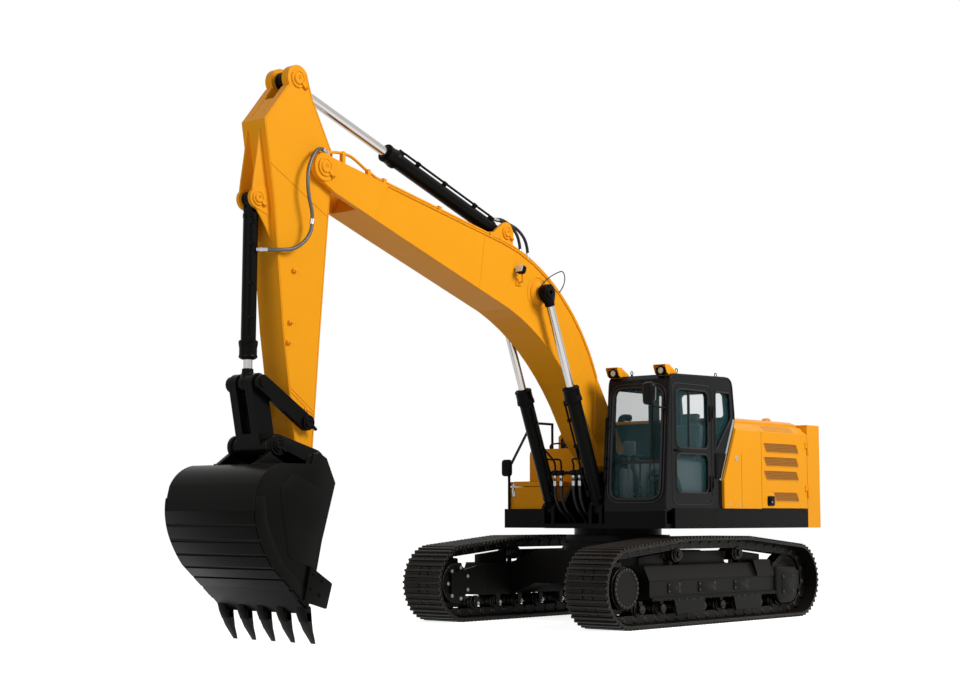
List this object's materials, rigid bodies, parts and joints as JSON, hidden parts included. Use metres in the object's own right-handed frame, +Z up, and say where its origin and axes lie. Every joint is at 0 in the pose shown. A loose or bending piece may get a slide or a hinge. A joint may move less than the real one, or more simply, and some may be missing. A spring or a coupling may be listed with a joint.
{
  "type": "crawler excavator",
  "caption": "Crawler excavator with slewing house, glazed cab, boom, arm and bucket moved by hydraulic cylinders, on steel tracks; for digging and loading.",
  "frame": {"origin": "on the ground under the slew axis", "axes": "+X forward along the boom, +Y to the cab side, +Z up"},
  "size_m": [10.2217, 3.22, 6.2003],
  "materials": {
    "yellow_paint": "gloss yellow machine enamel",
    "black_paint": "semi-gloss black machine enamel",
    "track_steel": "dark wrought steel",
    "frame_paint": "satin black paint",
    "engine_iron": "plain cast iron",
    "cab_glass": "tinted safety glass",
    "seat_vinyl": "matte vinyl and moulded plastic",
    "rod_chrome": "hard chrome, polished"
  },
  "bodies": {
    "undercarriage": {"car_body": "frame_paint", "slew_ring": "track_steel", "track_frames": "frame_paint", "track_left": "track_steel", "track_right": "track_steel", "sprockets": "track_steel", "idlers": "track_steel", "rollers": "track_steel"},
    "house": {"upper_frame": "black_paint", "counterweight": "yellow_paint", "left_panel": "yellow_paint", "right_panel": "yellow_paint", "fuel_tank": "yellow_paint", "toolbox": "yellow_paint", "engine": "engine_iron", "handrails": "black_paint", "cab_floor": "black_paint", "cab_front": "black_paint", "cab_right_wall": "black_paint", "cab_rear_wall": "black_paint", "cab_left_wall": "black_paint", "cab_roof": "black_paint", "cab_glass": "cab_glass", "cab_seat": "seat_vinyl", "roof_lamps": "yellow_paint", "left_mirror": "black_paint"},
    "engine_hood": {"engine_hood": "yellow_paint"},
    "left_door": {"left_door": "yellow_paint"},
    "right_door": {"right_door": "yellow_paint"},
    "toolbox_lid": {"toolbox_lid": "yellow_paint"},
    "cab_door": {"cab_door": "black_paint", "door_glass": "cab_glass"},
    "boom": {"boom": "yellow_paint", "boom_pipes": "yellow_paint"},
    "arm": {"arm": "yellow_paint"},
    "bucket": {"bucket": "black_paint", "bucket_teeth": "black_paint"},
    "rockers": {"rockers": "black_paint"},
    "bucket_link": {"bucket_link": "black_paint"},
    "boom_barrels": {"boom_barrels": "black_paint"},
    "boom_rods": {"boom_rods": "rod_chrome"},
    "arm_barrel": {"arm_barrel": "black_paint"},
    "arm_rod": {"arm_rod": "rod_chrome"},
    "bucket_barrel": {"bucket_barrel": "black_paint"},
    "bucket_rod": {"bucket_rod": "rod_chrome"}
  },
  "joints": [
    {"name": "swing", "type": "hinge", "parent": "undercarriage", "child": "house", "pos_m": [0, 0, 1.1], "axis": [0, 0, 1], "continuous": true},
    {"name": "boom_lift", "type": "hinge", "parent": "house", "child": "boom", "pos_m": [0.15, 0, 2.05], "axis": [0, -1, 0], "range_deg": [-50, 33]},
    {"name": "arm_turn", "type": "hinge", "parent": "boom", "child": "arm", "pos_m": [5.72973, 0, 5.1251], "axis": [0, 1, 0], "range_deg": [-95, 15]},
    {"name": "bucket_curl", "type": "hinge", "parent": "arm", "child": "bucket", "pos_m": [5.91971, 0, 1.87965], "axis": [0, 1, 0], "range_deg": [-10, 150]},
    {"name": "boom_barrel_turn", "type": "hinge", "parent": "house", "child": "boom_barrels", "pos_m": [0.9, 0, 1.42], "axis": [0, -1, 0], "range_deg": [-47.77, 31.72]},
    {"name": "boom_rod_slide", "type": "slide", "parent": "boom_barrels", "child": "boom_rods", "axis": [0.3772, 0, 0.9261], "range_m": [-0.7834, 0.5188]},
    {"name": "arm_barrel_turn", "type": "hinge", "parent": "boom", "child": "arm_barrel", "pos_m": [2.48902, 0, 4.83326], "axis": [0, -1, 0], "range_deg": [-0.59, 0.67]},
    {"name": "arm_rod_slide", "type": "slide", "parent": "arm_barrel", "child": "arm_rod", "axis": [0.9468, 0, 0.3218], "range_m": [-1.484, 0.2385]},
    {"name": "bucket_barrel_turn", "type": "hinge", "parent": "arm", "child": "bucket_barrel", "pos_m": [6.55983, 0, 4.67999], "axis": [0, -1, 0], "range_deg": [-4.77, 0.85]},
    {"name": "bucket_rod_slide", "type": "slide", "parent": "bucket_barrel", "child": "bucket_rod", "axis": [0.0084, 0, -1], "range_m": [-0.0832, 1.1779]},
    {"name": "rocker_turn", "type": "hinge", "parent": "arm", "child": "rockers", "pos_m": [5.93957, 0, 2.33022], "axis": [0, 1, 0], "range_deg": [-7.27, 101.07]},
    {"name": "link_turn", "type": "hinge", "parent": "bucket", "child": "bucket_link", "pos_m": [6.44073, 0, 2.06901], "axis": [0, 1, 0], "range_deg": [-95.07, 6.87]},
    {"name": "cab_door_hinge", "type": "hinge", "parent": "house", "child": "cab_door", "pos_m": [-0.07, 1.464, 2], "axis": [0, 0, 1], "range_deg": [0, 160]},
    {"name": "left_door_hinge", "type": "hinge", "parent": "house", "child": "left_door", "pos_m": [-2.412, 1.509, 2], "axis": [0, 0, 1], "range_deg": [0, 110]},
    {"name": "right_door_hinge", "type": "hinge", "parent": "house", "child": "right_door", "pos_m": [-2.412, -1.509, 2], "axis": [0, 0, -1], "range_deg": [0, 110]},
    {"name": "hood_hinge", "type": "hinge", "parent": "house", "child": "engine_hood", "pos_m": [-0.668, 0, 2.636], "axis": [0, 1, 0], "range_deg": [0, 60]},
    {"name": "toolbox_lid_hinge", "type": "hinge", "parent": "house", "child": "toolbox_lid", "pos_m": [0.09, -1.1, 1.798], "axis": [0, -1, 0], "range_deg": [0, 80]}
  ],
  "couplings": [
    {"joint": "boom_barrel_turn", "follows": "boom_lift", "ratio": 0.944},
    {"joint": "boom_rod_slide", "follows": "boom_lift", "m_per_rad": 0.892},
    {"joint": "arm_barrel_turn", "follows": "arm_turn", "ratio": -0.001},
    {"joint": "arm_rod_slide", "follows": "arm_turn", "m_per_rad": 0.892},
    {"joint": "bucket_barrel_turn", "follows": "bucket_curl", "ratio": -0.028},
    {"joint": "bucket_rod_slide", "follows": "bucket_curl", "m_per_rad": 0.448},
    {"joint": "rocker_turn", "follows": "bucket_curl", "ratio": 0.67},
    {"joint": "link_turn", "follows": "bucket_curl", "ratio": -0.63}
  ]
}
